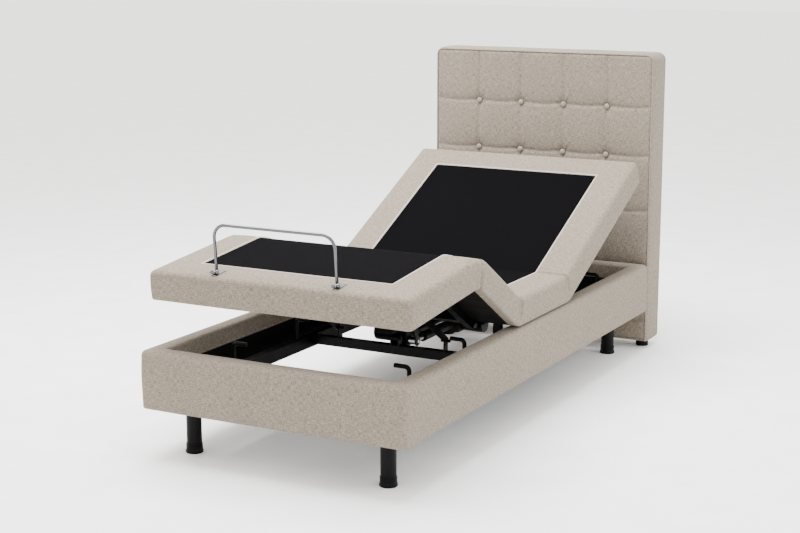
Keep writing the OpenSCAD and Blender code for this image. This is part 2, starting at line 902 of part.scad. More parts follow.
// Housing, motor and outer tube, with the tail pin at the local origin.
module motor_unit(side, tube_end_at, rod_in) {
    color([0.09, 0.09, 0.09]) difference() {
        union() {
            rod_x(-lug, lug, 0, 0, eye_r);
            translate([-lug, 0, -eye_r]) cube([2 * lug, 24, 2 * eye_r]);
            translate([-gear_w / 2, 24, -gear_h / 2]) cube([gear_w, gear_len, gear_h]);
            rod_x(side > 0 ? gear_w / 2 : -gear_w / 2 - motor_len, side > 0 ? gear_w / 2 + motor_len : -gear_w / 2,
                  24 + gear_len / 2, 0, motor_d / 2);
            translate([0, 24, 0]) rotate([-90, 0, 0]) cylinder(h = tube_end_at - 24, d = act_tube_d);
        }
        rod_x(-gear_w, gear_w, 0, 0, pin_d / 2 + run_fit);
        translate([0, rod_in, 0]) rotate([-90, 0, 0]) cylinder(h = tube_end_at, r = rod_d / 2 + run_fit);
    }
}

// Push rod with its eye at the local distance eye_at, and the pin through it.
module push_rod(eye_at, rod_in) {
    color("silver") {
        translate([0, rod_in, 0]) rotate([-90, 0, 0]) cylinder(h = eye_at - rod_in, d = rod_d);
        rod_x(-eye_r, eye_r, eye_at, 0, eye_r);
        rod_x(-eye_r - plate_t - 3, eye_r + plate_t + 3, eye_at, 0, pin_d / 2);
    }
}

back_tube_end = seat_len - back_tube_less;
thigh_tube_end = seat_len - thigh_tube_less;
back_reach = span(back_tail, back_push);
thigh_reach = span(thigh_tail, thigh_push);
back_bore = back_tube_end - 170;
thigh_bore = thigh_tube_end - 150;
rod_hold = 100;

module back_motor() {
    along(back_act_x, back_tail, back_push) motor_unit(-1, back_tube_end, back_bore);
}

module back_rod() {
    along(back_act_x, back_tail, back_push) push_rod(back_reach, back_tube_end - rod_hold);
}

// The thigh actuator points towards the foot, so its motor side is mirrored.
module thigh_motor() {
    along(thigh_act_x, thigh_tail, thigh_push) motor_unit(1, thigh_tube_end, thigh_bore);
}

module thigh_rod() {
    along(thigh_act_x, thigh_tail, thigh_push) push_rod(thigh_reach, thigh_tube_end - rod_hold);
}

// Flat link between the crossbeam and the lower leg, beside the plates that hold its pins.
module knee_link(side) {
    x = side * (link_x + drop_x) / 2;
    t = drop_x - link_x - plate_t - 2 * side_fit;
    color([0.12, 0.12, 0.12]) placed() {
        difference() {
            side_plate(x - t / 2, x + t / 2) strap(link_low, link_high, link_w);
            rod_x(x - 20, x + 20, link_low[0], link_low[1], pin_d / 2 + run_fit);
        }
        rod_x(x - 12, x + 12, link_high[0], link_high[1], pin_d / 2);
    }
}

module knee_link_left() {
    knee_link(-1);
}

module knee_link_right() {
    knee_link(1);
}

// ---- electrics ---------------------------------------------------------------------

box_x = -155;
lead_drop = 34;
box_u = (seat_1_u + seat_2_u) / 2;
box_z = under_z - box_h;

module control_box() {
    color([0.1, 0.1, 0.1]) placed() difference() {
        block(box_x - box_w / 2, box_x + box_w / 2, box_u - box_len / 2, box_u + box_len / 2, box_z, under_z);
        block(box_x - 60, box_x - 35, box_u + box_len / 2 - 14, box_u + box_len / 2 + 1, box_z + 10, box_z + 26);
        block(box_x - 15, box_x, box_u + box_len / 2 - 12, box_u + box_len / 2 + 1, box_z + 12, box_z + 24);
    }
}

// Sweeps a round lead of eight sides along a list of [x, distance from foot, height].
module lead(points, d) {
    n = len(points);
    sides = 8;
    rings = [for (i = [0 : n - 1]) let (
        t = points[min(i + 1, n - 1)] - points[max(i - 1, 0)],
        f = t / norm(t),
        s0 = cross(f, abs(f[2]) > 0.8 ? [1, 0, 0] : [0, 0, 1]),
        s = s0 / norm(s0),
        v = cross(s, f)
    ) for (k = [0 : sides - 1]) points[i] + d / 2 * (cos(360 * k / sides) * s + sin(360 * k / sides) * v)];
    walls = [for (i = [0 : n - 2]) for (k = [0 : sides - 1])
        [i * sides + k, i * sides + (k + 1) % sides, (i + 1) * sides + (k + 1) % sides, (i + 1) * sides + k]];
    near = [for (k = [0 : sides - 1]) sides - 1 - k];
    far = [for (k = [0 : sides - 1]) (n - 1) * sides + k];
    polyhedron(points = rings, faces = concat(walls, [near], [far]));
}

module motor_leads() {
    front = box_u - box_len / 2;
    side = box_x + box_w / 2;
    z = under_z - lead_drop;
    color([0.05, 0.05, 0.05]) placed() {
        lead([[box_x, front, z], [box_x, front - 8, z], [box_x, front - 25, z - 4], [box_x + 4, front - 60, z - 10],
              [box_x + 18, front - 90, z - 12], [box_x + 40, front - 108, z - 12],
              [box_x + 70, front - 112, z - 13]], lead_d);
        lead([[side, box_u, z], [side + 8, box_u, z], [side + 30, box_u - 2, z - 2], [side + 60, box_u + 6, z - 4],
              [side + 90, box_u + 14, z - 4], [side + 118, box_u + 16, z - 6]], lead_d);
    }
}

// ---- mattress bar ------------------------------------------------------------------

module mattress_bar() {
    color([0.85, 0.85, 0.85]) on_leg() {
        for (i = [0, 1]) {
            way = i == 0 ? 1 : -1;
            translate([bar_xs[i], bar_inset, top_z + tab_t]) cylinder(h = bar_h - tab_t - bar_bend, d = bar_d);
            translate([bar_xs[i] + way * bar_bend, bar_inset, top_z + bar_h - bar_bend])
                rotate([90, 0, 0]) rotate([0, 0, i == 0 ? 90 : 0])
                    rotate_extrude(angle = 90) translate([bar_bend, 0]) circle(d = bar_d);
            difference() {
                union() {
                    translate([bar_xs[i] - 10, bar_inset - 10, top_z]) cube([knob_out + 20, 20, tab_t]);
                    translate([knob_x(i) - 10, knob_u, top_z]) cube([20, bar_inset - knob_u, tab_t]);
                    translate([knob_x(i), knob_u, top_z]) cylinder(h = tab_t, r = 10);
                }
                translate([knob_x(i), knob_u, top_z - 1]) cylinder(h = tab_t + 2, r = stud_d / 2 + run_fit);
            }
        }
        rod_x(bar_xs[0] + bar_bend, bar_xs[1] - bar_bend, bar_inset, top_z + bar_h, bar_d / 2);
    }
}

module bar_knob(i) {
    lobes = 5;
    lobe_r = knob_d * 0.17;
    stud_len = section_t - 2;
    color("gainsboro") on_leg() translate([knob_x(i), knob_u, top_z + tab_t]) {
        translate([0, 0, -tab_t - stud_len]) cylinder(h = tab_t + stud_len + 1, d = stud_d);
        translate([0, 0, 0.3]) cylinder(h = knob_h - 0.3, d = knob_d * 0.6);
        for (k = [0 : lobes - 1])
            rotate(360 * k / lobes) translate([knob_d / 2 - lobe_r, 0, 1.5]) cylinder(h = knob_h - 3, r = lobe_r);
    }
}

module bar_knob_left() {
    bar_knob(0);
}

module bar_knob_right() {
    bar_knob(1);
}

foot_rail();
head_rail();
left_rail();
right_rail();
foot_rail_pad();
head_rail_pad();
left_rail_pad();
right_rail_pad();
corner_blocks();
frame_bolts();
leg(1);  // leg_1
leg(2);  // leg_2
leg(3);  // leg_3
leg(4);  // leg_4
foot_cap(1);  // foot_cap_1
foot_cap(2);  // foot_cap_2
foot_cap(3);  // foot_cap_3
foot_cap(4);  // foot_cap_4
headboard_frame();
headboard_board();
headboard_pad();
headboard_border();
headboard_back();
headboard_glides();
tuft_buttons();
left_beam();
right_beam();
front_crossbeam();
rear_crossbeam();
rest_hooks();
seat_frame();
seat_board();
seat_pad();
seat_cloth();
thigh_frame();
thigh_board();
thigh_pad();
thigh_cloth();
leg_frame();
leg_board();
leg_pad();
leg_cloth();
back_frame();
back_board();
back_pad();
back_cloth();
back_hinge_pins();
thigh_hinge_pins();
knee_hinge_pins();
back_motor();
back_rod();
thigh_motor();
thigh_rod();
knee_link_left();
knee_link_right();
control_box();
motor_leads();
mattress_bar();
bar_knob_left();
bar_knob_right();
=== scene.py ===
import bpy
import json
import math
import numpy as np
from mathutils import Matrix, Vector


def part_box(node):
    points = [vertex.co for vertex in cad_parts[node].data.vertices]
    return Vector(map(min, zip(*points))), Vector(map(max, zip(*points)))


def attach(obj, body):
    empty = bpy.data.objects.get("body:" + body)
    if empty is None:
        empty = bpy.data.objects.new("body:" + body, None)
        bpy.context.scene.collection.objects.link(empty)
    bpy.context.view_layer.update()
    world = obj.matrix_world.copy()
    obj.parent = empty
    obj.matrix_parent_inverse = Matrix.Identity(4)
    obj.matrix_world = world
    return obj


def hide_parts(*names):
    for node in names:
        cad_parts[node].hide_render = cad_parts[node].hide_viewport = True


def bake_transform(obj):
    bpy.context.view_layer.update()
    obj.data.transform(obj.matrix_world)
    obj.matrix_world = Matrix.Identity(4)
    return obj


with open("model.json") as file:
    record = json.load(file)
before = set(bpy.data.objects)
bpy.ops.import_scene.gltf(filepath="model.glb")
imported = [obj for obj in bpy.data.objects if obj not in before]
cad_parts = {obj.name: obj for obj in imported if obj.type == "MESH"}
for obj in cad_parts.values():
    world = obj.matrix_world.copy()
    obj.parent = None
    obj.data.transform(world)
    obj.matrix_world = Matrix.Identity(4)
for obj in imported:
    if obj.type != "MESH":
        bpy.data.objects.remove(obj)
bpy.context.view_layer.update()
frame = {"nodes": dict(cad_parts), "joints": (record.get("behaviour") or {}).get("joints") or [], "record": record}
nodes = frame["nodes"]
joints = {j["name"]: j for j in frame["joints"]}


# ---- camera, light and floor ------------------------------------------------------


def camera():
    lens = bpy.data.cameras.new("camera")
    lens.sensor_width = 36
    lens.lens = 73.90
    tilt_down, turn_left = 11.3843, 28.0261
    seen = bpy.data.objects.new("camera", lens)
    seen.location = (2.5314, -4.9955, 1.5799)
    seen.rotation_euler = (math.radians(90 - tilt_down), 0, math.radians(turn_left))
    bpy.context.scene.collection.objects.link(seen)
    bpy.context.scene.camera = seen


def softbox(name, place, aim, size, watts, tint):
    lamp = bpy.data.lights.new(name, "AREA")
    lamp.shape = "RECTANGLE"
    lamp.size, lamp.size_y = size
    lamp.energy = watts
    lamp.color = tint
    box = bpy.data.objects.new(name, lamp)
    box.location = place
    box.rotation_euler = (Vector(aim) - Vector(place)).to_track_quat("-Z", "Y").to_euler()
    bpy.context.scene.collection.objects.link(box)


def studio():
    """A pale room: even light all round, a broad softbox above and a cooler one at the right."""
    world = bpy.data.worlds.new("studio")
    bpy.context.scene.world = world
    world.use_nodes = True
    room = world.node_tree.nodes["Background"]
    room.inputs["Color"].default_value = (1.0, 0.99, 0.972, 1)
    room.inputs["Strength"].default_value = 2.7
    softbox("overhead", place=(-0.6, -0.1, 3.6), aim=(0, 0, 0.4), size=(2.4, 3.0), watts=430,
            tint=(0.96, 0.98, 1.0))
    softbox("right", place=(4.2, 0.4, 1.9), aim=(0, 0.1, 0.4), size=(1.8, 2.6), watts=65,
            tint=(0.70, 0.84, 1.0))
    floor = grid_piece("floor", *flat_square(60.0))
    floor.data.materials.append(
        plain("floor_paint", (0.93, 0.93, 0.925), rough=0.6, grain=300, depth=0.02))


# ---- mesh making ------------------------------------------------------------------


def flat_square(side):
    line = np.array([-side / 2, side / 2])
    points = np.zeros((2, 2, 3))
    points[..., 0], points[..., 1] = line[:, None], line[None, :]
    return points, points[..., :2]


def grid_piece(name, points, uv, ring=False, keep=None, flip=False):
    """A mesh of quads over points[i, j]; a ring's last row i joins its first.

    uv is in metres, with a pair for each point, and a ring's has one row more, which closes it.
    keep says which quads are made.
    """
    n, m = points.shape[:2]
    rows = n if ring else n - 1
    i, j = np.meshgrid(np.arange(rows), np.arange(m - 1), indexing="ij")
    if keep is not None:
        use = keep[:rows, : m - 1]
        i, j = i[use], j[use]
    i, j = i.ravel(), j.ravel()
    k = (i + 1) % n
    quads = np.stack([i * m + j, k * m + j, k * m + j + 1, i * m + j + 1], 1)
    corner = np.stack([uv[i, j], uv[i + 1, j], uv[i + 1, j + 1], uv[i, j + 1]], 1)
    if flip:
        quads, corner = quads[:, ::-1], corner[:, ::-1]
    used, packed = np.unique(quads, return_inverse=True)
    verts = points.reshape(-1, 3)[used]
    return mesh_piece(name, verts, packed.reshape(-1, 4), corner.reshape(-1, 2))


def mesh_piece(name, verts, faces, corner_uv):
    mesh = bpy.data.meshes.new(name)
    mesh.from_pydata([tuple(v) for v in np.asarray(verts, float)], [],
                     [tuple(int(k) for k in face) for face in faces])
    layer = mesh.uv_layers.new(name="cloth")
    layer.data.foreach_set("uv", np.asarray(corner_uv, np.float32).ravel())
    mesh.polygons.foreach_set("use_smooth", [True] * len(mesh.polygons))
    mesh.update()
    piece = bpy.data.objects.new(name, mesh)
    bpy.context.scene.collection.objects.link(piece)
    return piece


def dress(piece, body, slot, material, *replaced):
    piece.data.materials.clear()
    piece.data.materials.append(material)
    if body:
        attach(piece, body)
    if replaced:
        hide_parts(*replaced)
    return piece


def arc(centre, radius, first, last, n):
    turn = np.radians(np.linspace(first, last, n))
    return [(centre[0] + radius * math.cos(a), centre[1] + radius * math.sin(a)) for a in turn]


def lengths(points):
    """Distance travelled at each point of a line."""
    steps = np.linalg.norm(np.diff(np.asarray(points, float), axis=0), axis=1)
    return np.concatenate([[0], np.cumsum(steps)])


def evenly(points, n):
    points = np.asarray(points, float)
    along = lengths(points)
    want = np.linspace(0, along[-1], n)
    return np.stack([np.interp(want, along, points[:, k]) for k in range(points.shape[1])], 1)


def smoothed(points, spread, step=0.001):
    """A line with its corners rounded by a bell of that spread, its ends kept."""
    points = evenly(points, max(8, int(lengths(points)[-1] / step)))
    reach = int(4 * spread / step)
    weight = np.exp(-0.5 * (np.arange(-reach, reach + 1) * step / spread) ** 2)
    weight /= weight.sum()
    first = points[0] - (points[1] - points[0]) * np.arange(reach, 0, -1)[:, None]
    last = points[-1] + (points[-1] - points[-2]) * np.arange(1, reach + 1)[:, None]
    line = np.concatenate([first, points, last])
    return np.stack([np.convolve(line[:, k], weight, "valid") for k in range(points.shape[1])], 1)


def bell(distance, width):
    """1 at nought, fading away over a few widths on each side."""
    return np.exp(-((distance / width) ** 2))


def crumple(p, seed):
    """Small repeatable folds, between about -1 and 1."""
    total = np.zeros(p.shape[:-1])
    for k in range(5):
        w = np.array([math.sin(seed + 1.7 * k), math.cos(2.1 * seed + k),
                      math.sin(0.7 * seed + 2.9 * k)])
        total += np.sin(p @ w * (60 + 34 * k) + seed * k) / (1.4 + k)
    return total / 1.8


def cad_points(node):
    mesh = nodes[node].data
    co = np.zeros(len(mesh.vertices) * 3)
    mesh.vertices.foreach_get("co", co)
    return co.reshape(-1, 3)


# ---- materials --------------------------------------------------------------------


class Nodes:
    """Builds one material's node tree by name."""

    def __init__(self, name):
        self.material = bpy.data.materials.new(name)
        self.material.use_nodes = True
        self.tree = self.material.node_tree
        self.shader = self.tree.nodes["Principled BSDF"]

    def add(self, kind, **inputs):
        node = self.tree.nodes.new("ShaderNode" + kind)
        settings = inputs.pop("settings", {})
        for key, value in settings.items():
            setattr(node, key, value)
        for key, value in inputs.items():
            socket = int(key[1:]) if key[0] == "_" else key.replace("_", " ")
            self.put(node.inputs[socket], value)
        return node

    def put(self, socket, value):
        if isinstance(value, bpy.types.NodeSocket):
            self.tree.links.new(value, socket)
        elif isinstance(value, bpy.types.Node):
            self.tree.links.new(value.outputs[0], socket)
        else:
            socket.default_value = value

    def set(self, **inputs):
        for key, value in inputs.items():
            self.put(self.shader.inputs[key.replace("_", " ")], value)

    def coords(self, uv=False):
        if uv:
            return self.add("UVMap", settings={"uv_map": "cloth"}).outputs[0]
        return self.add("TexCoord").outputs["Object"]

    def scaled(self, source, scale):
        return self.add("Mapping", Vector=source, Scale=scale).outputs[0]

    def noise(self, source, scale, detail=3.0, rough=0.55):
        return self.add("TexNoise", Vector=source, Scale=scale, Detail=detail,
                        Roughness=rough).outputs[0]

    def math(self, what, a, b=0.0):
        return self.add("Math", _0=a, _1=b, settings={"operation": what}).outputs[0]

    def weave(self, source, pitch):
        """Threads over and under each other, a pitch apart both ways."""
        split = self.add("SeparateXYZ", _0=source)
        waves = [self.math("SINE", self.math("MULTIPLY", split.outputs[k], 2 * math.pi / pitch))
                 for k in (0, 1)]
        return self.math("MULTIPLY", *waves)

    def remap(self, value, low, high, to_low, to_high):
        return self.add("MapRange", _0=value, _1=low, _2=high, _3=to_low,
                        _4=to_high).outputs[0]

    def mix(self, factor, a, b):
        node = self.tree.nodes.new("ShaderNodeMix")
        node.data_type = "RGBA"
        self.put(node.inputs[0], factor)
        for socket, value in ((node.inputs[6], a), (node.inputs[7], b)):
            self.put(socket, value if not isinstance(value, tuple) else (*value[:3], 1))
        return node.outputs[2]

    def bump(self, height, distance, strength=0.5):
        return self.add("Bump", Height=height, Distance=distance, Strength=strength).outputs[0]


def plain(name, colour, rough, grain, depth, metal=0.0, spread=0.06, gloss=0.5):
    """A hard surface: its colour and roughness vary a little, over a fine grain.

    grain is the scale of that grain and depth its relief in millimetres.
    """
    n = Nodes(name)
    at = n.coords()
    cloud = n.noise(at, 6.0, 4.0)
    dark = tuple(c * (1 - spread * 2) for c in colour)
    light = tuple(min(1, c * (1 + spread)) for c in colour)
    patchy = n.remap(n.noise(at, 40.0), 0.3, 0.7, max(0.03, rough - 0.06), rough + 0.06)
    n.set(Base_Color=n.mix(cloud, dark, light), Metallic=metal, Roughness=patchy)
    n.set(Normal=n.bump(n.noise(at, grain, 2.0), depth * 0.001), Specular_IOR_Level=gloss)
    return n.material


def linen(name, dark, middle, pale, slub=1.0):
    """Melange linen: dark, middle and pale yarns in a plain weave, with slubs and a soft nap."""
    n = Nodes(name)
    at = n.coords(uv=True)
    down = n.noise(n.scaled(at, (560, 64, 1)), 1.0, 3.0, 0.6)
    across = n.noise(n.scaled(at, (70, 500, 1)), 1.0, 4.0, 0.62)
    speck = n.noise(at, 620.0, 4.0, 0.74)
    cloud = n.noise(at, 9.0, 4.0)
    yarns = dark
    for pattern, low, high, share, colour in ((down, 0.36, 0.56, 1.0, middle),
                                              (across, 0.50, 0.62, 0.6 * slub, pale),
                                              (speck, 0.53, 0.66, 0.6 * slub, dark),
                                              (speck, 0.47, 0.34, 0.6, pale),
                                              (cloud, 0.35, 0.65, 0.08, dark)):
        yarns = n.mix(n.remap(pattern, low, high, 0.0, share), yarns, colour)
    crossings = n.math("MULTIPLY", n.weave(at, 0.0013), 0.4)
    height = n.math("ADD", crossings, n.math("ADD", across, down))
    n.set(Base_Color=yarns, Roughness=0.9, Specular_IOR_Level=0.2)
    n.set(Sheen_Weight=0.16, Sheen_Roughness=0.5, Sheen_Tint=(*pale, 1))
    n.set(Normal=n.bump(height, 0.0005))
    return n.material


def felt(name, colour, pitch, depth, rough=0.9):
    """A dark covering cloth with a fine crossed texture."""
    n = Nodes(name)
    at = n.coords(uv=True)
    fuzz = n.noise(at, 600.0)
    light = tuple(c * 1.8 + 0.0008 for c in colour)
    n.set(Base_Color=n.mix(n.remap(fuzz, 0.4, 0.7, 0.0, 1.0), colour, light))
    n.set(Roughness=rough, Specular_IOR_Level=0.02)
    n.set(Normal=n.bump(n.math("ADD", n.weave(at, pitch), fuzz), depth))
    return n.material


def wood(name, light, dark, ring, along, gloss=0.4):
    """Sawn softwood or ply, its grain running along one axis."""
    n = Nodes(name)
    stretch = [14.0, 14.0, 14.0]
    stretch[along] = 0.9
    at = n.scaled(n.coords(), tuple(stretch))
    rings = n.add("TexWave", Vector=at, Scale=ring, Distortion=3.0, Detail=2.0).outputs[1]
    fibre = n.noise(at, 22.0, 4.0)
    planed = n.remap(n.noise(at, 1.2), 0.2, 0.8, 0.5, 0.7)
    colour = n.mix(n.math("MULTIPLY", fibre, 0.5), n.mix(rings, light, dark), dark)
    n.set(Base_Color=colour, Roughness=planed, Specular_IOR_Level=gloss)
    n.set(Normal=n.bump(fibre, 0.0004, 0.6))
    return n.material


finish = {
    "linen": linen("linen", dark=(0.080, 0.062, 0.043), middle=(0.186, 0.153, 0.117),
                   pale=(0.335, 0.290, 0.239)),
    # a paler copy of the linen for the hems along the covers' inner top edges: a painted highlight where the
    # rolled hem catches the light
    "linen_edge": linen("linen_edge", dark=(0.300, 0.262, 0.218), middle=(0.420, 0.380, 0.330),
                        pale=(0.520, 0.480, 0.430), slub=0.5),
    "linen_button": linen("linen_button", dark=(0.130, 0.106, 0.080),
                          middle=(0.235, 0.200, 0.160), pale=(0.360, 0.318, 0.268), slub=0.6),
    "cloth": felt("platform_cloth", (0.0013, 0.0011, 0.0014), pitch=0.0022, depth=0.0004,
                  rough=0.95),
    "lining": felt("lining", (0.0038, 0.0036, 0.0038), pitch=0.0016, depth=0.0003),
    "thread": plain("thread", (0.42, 0.39, 0.35), rough=0.75, grain=2500, depth=0.2),
    "timber": wood("pine", light=(0.55, 0.36, 0.19), dark=(0.38, 0.22, 0.10), ring=3.0, along=1),
    "plywood": wood("stained_plywood", light=(0.0075, 0.0068, 0.0064),
                    dark=(0.0030, 0.0027, 0.0026), ring=2.0, along=0, gloss=0.06),
    "steel": plain("black_powder_coat", (0.0022, 0.0022, 0.0025), rough=0.40, grain=900,
                   depth=0.12, spread=0.1, gloss=0.08),
    "zinc": plain("zinc_plate", (0.42, 0.43, 0.45), rough=0.3, grain=500, depth=0.03, metal=1.0),
    "plastic": plain("black_plastic", (0.0020, 0.0020, 0.0022), rough=0.36, grain=1400,
                     depth=0.08, gloss=0.07),
    "sheath": plain("lead_sheath", (0.006, 0.006, 0.006), rough=0.5, grain=900, depth=0.04,
                    gloss=0.2),
    # chrome's colour is set far darker than real chrome: a painted reflection, standing in for the darker
    # surroundings that chrome mirrors
    "chrome": plain("chrome", (0.11, 0.111, 0.116), rough=0.10, grain=60, depth=0.01, metal=1.0,
                    spread=0.02),
}
by_slot = {
    "upholstery": "linen", "black_cloth": "cloth", "lining": "lining", "timber": "timber",
    "plywood": "plywood", "black_steel": "steel", "zinc_steel": "zinc",
    "black_plastic": "plastic", "lead_sheath": "sheath", "chrome": "chrome",
}


def finish_cad():
    for part in frame["record"]["subparts"]:
        mesh = nodes[part["node"]].data
        mesh.materials.clear()
        mesh.materials.append(finish[by_slot[part["material_slot"]]])


# ---- the folding platform ---------------------------------------------------------


def platform_frame():
    """Each hinge as (y, z), and the angles of the back, thigh and leg sections at rest."""
    hinge = {key: np.array(joints[name]["pos_m"])[1:]
             for key, name in (("back", "back_tilt"), ("thigh", "thigh_lift"),
                               ("knee", "knee_bend"))}
    follow = {c["joint"]: c["ratio"] for c in frame["record"]["behaviour"]["couplings"]}
    back = -math.radians(joints["back_tilt"]["range_deg"][0])
    thigh = -math.radians(joints["thigh_lift"]["range_deg"][0])
    drop = (follow["knee_bend"] - 1) * thigh
    return hinge, back, thigh, drop


def section_reach(node, centre, turn):
    """How far a node reaches from a hinge along its section, least and most."""
    run = (cad_points(node)[:, 1:] - centre) @ np.array([math.cos(turn), math.sin(turn)])
    return float(run.min()), float(run.max())


def side_rules():
    """The platform from its side, at rest: at each station along it, a rule from its underside
    to its top, both as (y, z)."""
    hinge, back, thigh, drop = platform_frame()
    axis_z = hinge["back"][1]
    h0, h1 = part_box("seat_board")[0].z - axis_z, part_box("seat_pad")[1].z - axis_z
    knee = -section_reach("leg_pad", hinge["knee"], drop)[0]
    root = knee + float(np.linalg.norm(hinge["knee"] - hinge["thigh"]))
    rear = root + float(hinge["back"][0] - hinge["thigh"][0])
    total = rear + section_reach("back_pad", hinge["back"], back)[1]
    turn = {"leg": drop, "thigh": -thigh, "seat": 0.0, "back": back}
    origin = {"leg": (hinge["knee"], knee), "thigh": (hinge["thigh"], root),
              "seat": (hinge["thigh"], root), "back": (hinge["back"], rear)}

    def at(section, s, h):
        centre, s0 = origin[section]
        a = turn[section]
        along, up = np.array([math.cos(a), math.sin(a)]), np.array([-math.sin(a), math.cos(a)])
        return centre + along * (s - s0) + up * h

    def meet(a, b, s, h):
        """Where the lines at height h of two sections cross, near station s."""
        p, q = at(a, s, h), at(b, s, h)
        u, v = at(a, s + 1, h) - p, at(b, s + 1, h) - q
        t = np.linalg.solve(np.stack([u, -v], 1), q - p)[0]
        return p + u * t

    near, steps, gather = 0.072, 40, 2.3
    stations, tops, bottoms = [], [], []

    def straight(section, s0, s1, n):
        for s in np.linspace(s0, s1, n, endpoint=False):
            stations.append(s)
            tops.append(at(section, s, h1))
            bottoms.append(at(section, s, h0))

    def bend(a, b, s, top_mid, low_mid, top_spread, low_spread):
        """Stations close together at the hinge and further apart away from it."""
        part = np.sinh(gather * np.linspace(-1, 1, steps + 1)) / math.sinh(gather)
        part = 0.5 + 0.5 * part
        stations.extend((s - near + 2 * near * part)[:-1])
        for line, h, mid, spread in ((tops, h1, top_mid, top_spread),
                                     (bottoms, h0, low_mid, low_spread)):
            path = smoothed([at(a, s - near, h), *mid, at(b, s + near, h)], spread)
            along = lengths(path) / lengths(path)[-1]
            line.extend(np.stack([np.interp(part, along, path[:, k]) for k in (0, 1)], 1)[:-1])

    mid_thigh, mid_seat = (knee + root) / 2, (root + rear) / 2
    straight("leg", 0, knee - near, 14)
    bend("leg", "thigh", knee, [at("leg", knee, h1), at("thigh", knee, h1)],
         [meet("leg", "thigh", knee, h0)], 0.009, 0.0025)
    straight("thigh", knee + near, mid_thigh, 4)
    straight("thigh", mid_thigh, root - near, 4)
    bend("thigh", "seat", root, [meet("thigh", "seat", root, h1)],
         [meet("thigh", "seat", root, h0)], 0.0028, 0.013)
    straight("seat", root + near, mid_seat, 5)
    straight("seat", mid_seat, rear - near, 5)
    bend("seat", "back", rear, [meet("seat", "back", rear, h1)],
         [meet("seat", "back", rear, h0)], 0.0026, 0.011)
    straight("back", rear + near, total, 22)
    stations.append(total)
    tops.append(at("back", total, h1))
    bottoms.append(at("back", total, h0))
    return dict(s=np.array(stations), top=np.array(tops), low=np.array(bottoms), thick=h1 - h0,
                total=total, cuts=(mid_thigh, mid_seat), hinges=(knee, root, rear), hinge=hinge,
                turn=turn)


def on_rules(rules, s, x, h):
    """Points at distances s along the platform, x across it and heights h above its underside."""
    up = (h / rules["thick"])[..., None]
    top, low = (np.stack([np.interp(s, rules["s"], rules[side][:, k]) for k in (0, 1)], -1)
                for side in ("top", "low"))
    flat = low + (top - low) * up
    return np.stack([np.broadcast_to(x, s.shape), flat[..., 0], flat[..., 1]], -1)


def outline(half, s0, s1, radius, side_s, across, corner=7):
    """A closed outline with round corners, as (x, s).

    Every outline from the same stations side_s has the same number of points. Its long sides
    share them, apart from a stretch at each end that moves with the corner.
    """
    lo, hi = side_s[0], side_s[-1]
    a, b = s0 + radius, s1 - radius
    first, last = min(0.2, (lo + hi) / 2), max(hi - 0.2, (lo + hi) / 2)
    s = side_s.copy()
    head, tail = s < first, s > last
    s[head] = a + (s[head] - lo) * (first - a) / (first - lo)
    s[tail] = b - (hi - s[tail]) * (b - last) / (hi - last)
    xs = np.linspace(-(half - radius), half - radius, across)
    points = [(half, v) for v in s]
    points += arc((half - radius, b), radius, 0, 90, corner)[1:-1]
    points += [(v, s1) for v in xs[::-1]]
    points += arc((radius - half, b), radius, 90, 180, corner)[1:-1]
    points += [(-half, v) for v in s[::-1]]
    points += arc((radius - half, a), radius, 180, 270, corner)[1:-1]
    points += [(v, s0) for v in xs]
    points += arc((half - radius, a), radius, 270, 360, corner)[1:-1]
    return np.array(points)


def cover_profile(thick, lip):
    """The cover's section as (inset, height) pairs, from under the rim, up its side and in over
    the top to the black cloth; the last of them are the hem."""
    proud, round_top, round_low = 0.002, 0.021, 0.006
    profile = [(0.030, -proud), (0.016, -proud)]
    profile += arc((round_low - proud, round_low - proud), round_low, 270, 180, 4)
    profile += [(-proud - 0.0012 * math.sin(math.pi * t),
                 round_low + (thick - round_top - round_low) * t)
                for t in np.linspace(0, 1, 7)[1:-1]]
    profile += arc((round_top - proud, thick - round_top), round_top, 180, 90, 8)
    profile += [(d, thick + h) for d, h in ((0.034, 0.0004), (0.052, 0.001), (0.078, 0.0012),
                                            (0.100, 0.0008))]
    hem = [(lip + d, thick + h) for d, h in ((-0.0042, 0.0004), (-0.0036, 0.0022),
                                             (-0.0018, 0.0032), (0.0004, 0.0026),
                                             (0.0016, 0.0006), (0.0014, -0.0030))]
    return profile + hem, hem


def crease_hinges(points, x, s, h, rules, half, lip):
    """Folds the cover where it bends: a crease between two swells, with loose folds round it."""
    thick = rules["thick"]
    on_rim = np.clip((np.abs(x) - (half - lip)) / lip, 0, 1)
    fold = crumple(points, 1.3)
    up = np.clip(h / thick, 0, 1)
    outer = np.abs(x) > half - 0.012
    on_top = (h > thick * 0.8) * np.clip((np.abs(x) - (half - lip) - 0.006) / 0.02, 0, 1)
    for k, (hinge_s, folds_up) in enumerate(zip(rules["hinges"], (False, True, True))):
        off = s - hinge_s
        tight = up if folds_up else 1 - up
        slant = off - 0.010 * (tight - 0.5) * math.sin(2 + k)
        crease = bell(slant, 0.0042) * tight ** 0.7
        swell = bell(np.abs(off) - 0.016, 0.009) * tight
        second = bell(off - 0.024 + 0.03 * tight, 0.0045) * tight * (1 - tight) * 2
        loose = bell(off, 0.034)
        drawn_in = 0.0066 * crease - 0.0042 * swell + 0.0030 * second - 0.0015 * loose * fold
        points[..., 0] -= np.sign(x) * outer * drawn_in
        if folds_up:
            groove = 0.0062 * bell(off, 0.0036) - 0.0034 * bell(np.abs(off) - 0.013, 0.008)
            points[..., 2] -= on_top * groove
        points[..., 2] += 0.0012 * loose * fold * on_rim * (h > thick * 0.5)


def ripple(points, s, rules):
    """Slow unevenness of foam under cloth, away from the cuts between pieces."""
    calm = np.ones_like(s)
    for k in rules["cuts"]:
        calm *= 1 - bell(s - k, 0.03)
    return 0.0007 * calm * crumple(points * 0.35, 4.2)


